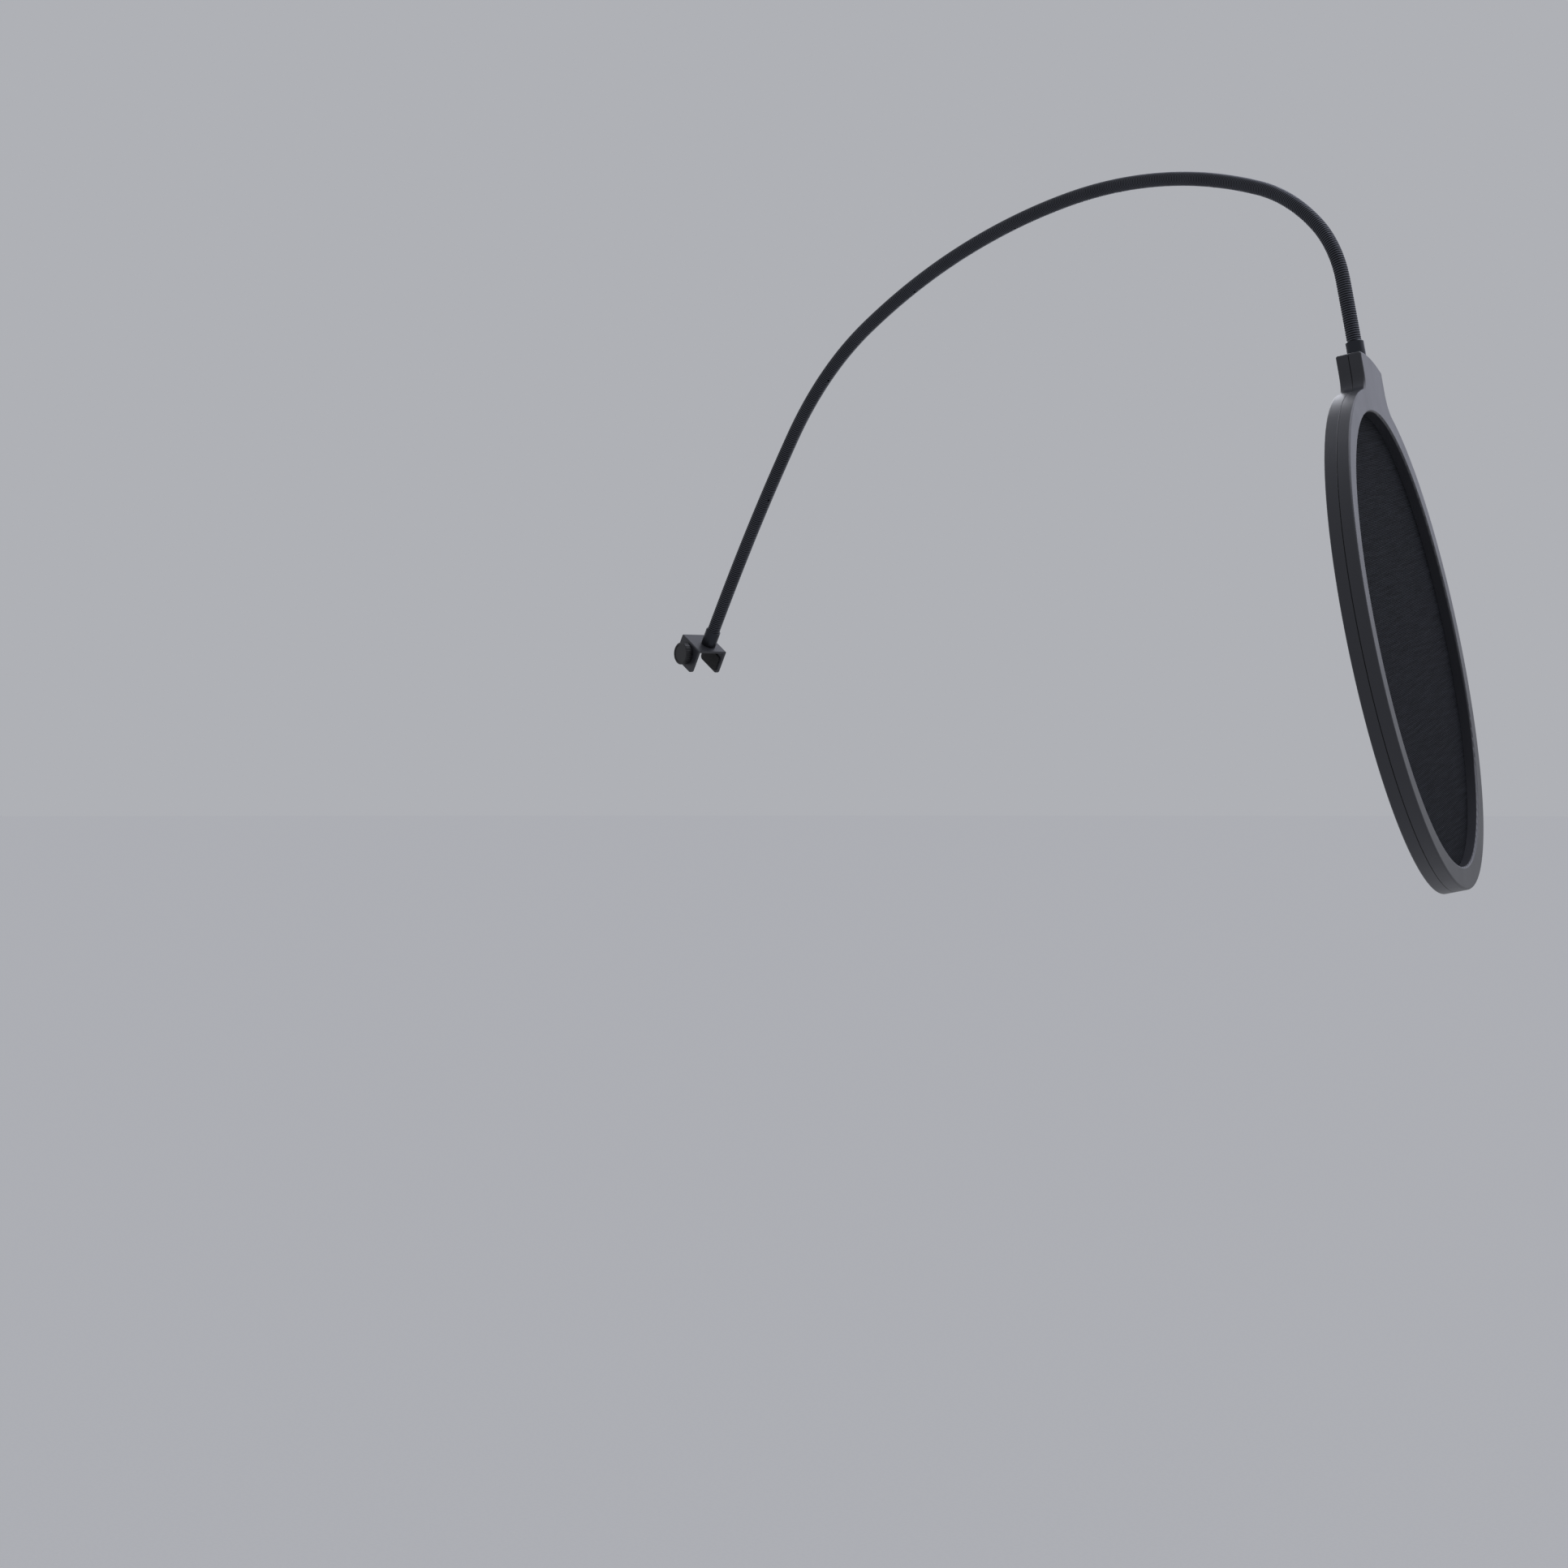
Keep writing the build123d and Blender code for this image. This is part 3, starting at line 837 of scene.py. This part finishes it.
@dataclass
class Hoop:
    """The hoop and its two screens, in its own axes: across, up towards the tab, and out of the front."""

    # From the hoop's centre to the swivel joint, and how far its front is turned out of the arm's plane.
    tab_top: float = 89.3 * MM
    turned: float = math.radians(33.5)
    screen_radius: float = 73.2 * MM
    screen_thickness: float = 0.3 * MM
    thread_slant: float = math.radians(14)
    rings: int = 60
    spokes: int = 180
    # Half the thickness of the ring between the screens.
    spacer_half: float = 0.3 * MM
    # The dark line between the halves: half its width, the share of that before it fades, and how dark.
    seam_half: float = 0.16 * MM
    seam_core: float = 0.6
    seam_darkness: float = 0.9
    seam_colour: str = "#060607"

    def axes(self) -> Matrix:
        """The hoop's own axes and centre, from the swivel joint.

        Returns:
            The matrix that takes the hoop's own coordinates to the row frame.
        """
        down = Vector(joint("hoop_swivel")["axis"]).normalized()
        level = Vector((-down.z, 0, down.x))
        normal = (level * math.cos(self.turned) + Vector((0, 1, 0)) * math.sin(self.turned)).normalized()
        across = (-down).cross(normal)
        centre = joint_place("hoop_swivel") + down * self.tab_top
        turn = Matrix((across, -down, normal)).transposed().to_4x4()
        return Matrix.Translation(centre) @ turn

    def build(self) -> None:
        """Dresses the moulded halves and makes the screens."""
        for node in ("front_hoop", "rear_hoop", "spacer_ring"):
            dress(node, Material.HOOP)
        dress("hoop_screws", Material.OXIDE)
        axes = self.axes()
        self.mark_seam(Material.HOOP.material(), axes)
        self.screen("front_screen", "front_mesh", axes, self.spacer_half)
        self.screen("rear_screen", "rear_mesh", axes, -self.spacer_half - self.screen_thickness)

    def mark_seam(self, material: bpy.types.Material, axes: Matrix) -> None:
        """Darkens the hoop's moulding in the narrow seam where its halves meet.

        Args:
            material: the moulding's material.
            axes: the hoop's axes.
        """
        tree = material.node_tree
        base = tree.nodes["Principled BSDF"].inputs["Base Color"]
        clean = base.links[0].from_socket
        normal = axes.to_3x3().col[2]
        place = add_node(tree, "TexCoord").outputs["Object"]
        along = add_node(tree, "VectorMath", {"operation": "DOT_PRODUCT"}, _0=place, _1=tuple(normal))
        seam = axes.translation.dot(normal)
        height = add_node(tree, "Math", {"operation": "SUBTRACT"}, _0=along.outputs["Value"], _1=seam)
        distance = add_node(tree, "Math", {"operation": "ABSOLUTE"}, _0=height.outputs[0])
        dirt = add_node(
            tree,
            "MapRange",
            Value=distance.outputs[0],
            From_Min=self.seam_core * self.seam_half,
            From_Max=self.seam_half,
            To_Min=self.seam_darkness,
            To_Max=0.0,
        )
        dark = linear(self.seam_colour)
        colour = add_node(tree, "MixRGB", Fac=dirt.outputs["Result"], Color1=clean, Color2=dark)
        tree.links.new(colour.outputs["Color"], base)

    def screen_points(self, axes: Matrix, low: float) -> list[Vector]:
        """The vertices of a screen: for each of its two faces a middle one and then ring after ring.

        Args:
            axes: the hoop's axes.
            low: the height of its lower face over the hoop's seam.

        Returns:
            The vertices, lower face first.
        """
        points = []
        for height in (low, low + self.screen_thickness):
            points.append(axes @ Vector((0, 0, height)))
            for ring in range(1, self.rings + 1):
                radius = self.screen_radius * ring / self.rings
                for spoke in range(self.spokes):
                    angle = 2 * math.pi * spoke / self.spokes
                    points.append(axes @ Vector((radius * math.cos(angle), radius * math.sin(angle), height)))
        return points

    def screen_faces(self) -> list[tuple[int, ...]]:
        """The faces of a screen: both its sides and the edge between them.

        Returns:
            The faces, as indices of vertices.
        """
        layer = 1 + self.rings * self.spokes
        faces = []
        for side in (0, 1):
            base = side * layer
            for spoke in range(self.spokes):
                after = (spoke + 1) % self.spokes
                face = (base, base + 1 + spoke, base + 1 + after)
                faces.append(face if side else face[::-1])
                for ring in range(self.rings - 1):
                    inner, outer = base + 1 + ring * self.spokes, base + 1 + (ring + 1) * self.spokes
                    face = (inner + spoke, outer + spoke, outer + after, inner + after)
                    faces.append(face if side else face[::-1])
        rim = 1 + (self.rings - 1) * self.spokes
        for spoke in range(self.spokes):
            after = (spoke + 1) % self.spokes
            faces.append((rim + spoke, rim + after, layer + rim + after, layer + rim + spoke))
        return faces

    def screen(self, name: str, node: str, axes: Matrix, low: float) -> None:
        """Makes one round of screen cloth, stretched flat and clamped at its edge.

        Args:
            name: the piece's name.
            node: the CAD node that it stands for.
            axes: the hoop's axes.
            low: the height of its lower face over the hoop's seam.
        """
        piece = make_piece(name, self.screen_points(axes, low), self.screen_faces(), Material.MESH)
        self.lay_threads(piece, axes)
        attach(piece, "hoop")
        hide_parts(node)

    def lay_threads(self, piece: bpy.types.Object, axes: Matrix) -> None:
        """Gives the cloth UVs in metres along its threads, which lie at a slant in the hoop.

        Args:
            piece: the cloth.
            axes: the hoop's axes.
        """
        along, aside = math.cos(self.thread_slant), math.sin(self.thread_slant)
        own = axes.inverted()
        layer = piece.data.uv_layers.new(name="threads")
        for loop in piece.data.loops:
            point = own @ piece.data.vertices[loop.vertex_index].co
            uv = (point.x * along + point.y * aside, point.y * along - point.x * aside)
            layer.data[loop.index].uv = uv


# ------------------------------------------------------------------ the clamp, collars and stud


@dataclass
class Fittings:
    """The bar clamp, both collars and the swivel's stud: CAD pieces that get their finishes here."""

    finishes: dict[str, Material] = field(
        default_factory=lambda: {
            "clamp_bracket": Material.CLAMP,
            "base_rivet": Material.NICKEL,
            "lower_collar": Material.NICKEL,
            "screw_bush": Material.NICKEL,
            "clamp_screw": Material.OXIDE,
            "thumb_knob": Material.KNOB,
            "knob_cap": Material.KNOB,
            "pressure_pad": Material.NICKEL,
            "jaw_pad": Material.RUBBER,
            "upper_collar": Material.NICKEL,
            "neck_stud": Material.NICKEL,
            "stud_clip": Material.SPRING,
        }
    )

    def build(self) -> None:
        """Dresses every piece."""
        for node, finish in self.finishes.items():
            dress(node, finish)


# ------------------------------------------------------------------ the studio


@dataclass(frozen=True)
class Lamp:
    """A soft rectangular light: its offset from the target and its sides in metres, watts and colour."""

    name: str
    offset: tuple[float, float, float]
    sides: tuple[float, float]
    power: float
    colour: str


@dataclass
class Studio:
    """A pale floor that runs out of sight, soft lights and the camera."""

    camera_place: Vector = field(default_factory=lambda: Vector((1.2616, -0.9199, -0.05166)))
    camera_azimuth: float = math.radians(52.84)
    # The lens and the sensor's width are in millimetres. The far clip takes in the floor's whole radius.
    focal_length: float = 96.3
    sensor_width: float = 36.0
    near_clip: float = 0.01
    far_clip: float = 600.0
    floor_drop: float = 3.0
    floor_radius: float = 400.0
    floor_corners: int = 64
    target: Vector = field(default_factory=lambda: Vector((0.3, 0.0, 0.03)))
    backdrop: str = "#d3d5db"
    backdrop_strength: float = 0.66
    lamps: tuple[Lamp, ...] = (
        Lamp("top", (0.1, 0.7, 1.7), (1.6, 1.6), 13, "#eef1ff"),
        Lamp("face", (1.1, 1.5, 0.5), (1.4, 1.4), 3, "#f2f3ff"),
        Lamp("sheen", (-0.42, 1.0, 0.6), (1.1, 1.1), 2.4, "#e4e7ff"),
        Lamp("edge", (-0.2, 0.15, 0.07), (0.08, 0.3), 0.2, "#f6f8ff"),
    )

    def build(self) -> None:
        """Builds the floor, the lights and the camera."""
        self.add_floor()
        for lamp in self.lamps:
            self.add_light(lamp)
        world = bpy.data.worlds.new("studio")
        world.use_nodes = True
        background = world.node_tree.nodes["Background"]
        background.inputs["Color"].default_value = linear(self.backdrop)
        background.inputs["Strength"].default_value = self.backdrop_strength
        bpy.context.scene.world = world
        bpy.context.scene.view_settings.view_transform = "Standard"
        self.add_camera()

    def add_floor(self) -> None:
        """Adds a plain round floor well under the hoop."""
        low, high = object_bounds()
        middle, level = (low + high) / 2, low.z - self.floor_drop
        corners = []
        for corner in range(self.floor_corners):
            angle = 2 * math.pi * corner / self.floor_corners
            out = self.floor_radius * Vector((math.cos(angle), math.sin(angle)))
            corners.append((middle.x + out.x, middle.y + out.y, level))
        mesh = bpy.data.meshes.new("floor")
        mesh.from_pydata(corners, [], [tuple(range(self.floor_corners))])
        mesh.materials.append(Material.PAPER.material())
        floor = bpy.data.objects.new("floor", mesh)
        bpy.context.scene.collection.objects.link(floor)
        floor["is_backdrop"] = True

    def add_light(self, lamp: Lamp) -> None:
        """Adds one rectangular light that faces the object.

        Args:
            lamp: what to add.
        """
        light = bpy.data.lights.new(lamp.name, "AREA")
        light.shape = "RECTANGLE"
        light.size, light.size_y = lamp.sides
        light.energy = lamp.power
        light.color = linear(lamp.colour)[:3]
        stand = bpy.data.objects.new(lamp.name, light)
        stand.location = self.target + Vector(lamp.offset)
        stand.rotation_euler = (-Vector(lamp.offset)).to_track_quat("-Z", "Y").to_euler()
        stand.visible_camera = False
        bpy.context.scene.collection.objects.link(stand)

    def add_camera(self) -> None:
        """Adds the level camera."""
        lens = bpy.data.cameras.new("camera")
        lens.lens = self.focal_length
        lens.sensor_width = self.sensor_width
        lens.clip_start = self.near_clip
        lens.clip_end = self.far_clip
        camera = bpy.data.objects.new("camera", lens)
        camera.location = self.camera_place
        camera.rotation_euler = (math.pi / 2, 0, self.camera_azimuth)
        bpy.context.scene.collection.objects.link(camera)
        bpy.context.scene.camera = camera


def main() -> None:
    """Builds the sub-assemblies in order."""
    logging.basicConfig(level=logging.INFO, format="%(message)s")
    builders: list[tuple[str, Callable[[], None]]] = [
        ("fittings", Fittings().build),
        ("gooseneck", Gooseneck().build),
        ("hoop", Hoop().build),
        ("studio", Studio().build),
    ]
    for name, build in builders:
        log.info("building the %s", name)
        build()


if __name__ == "__main__":
    main()
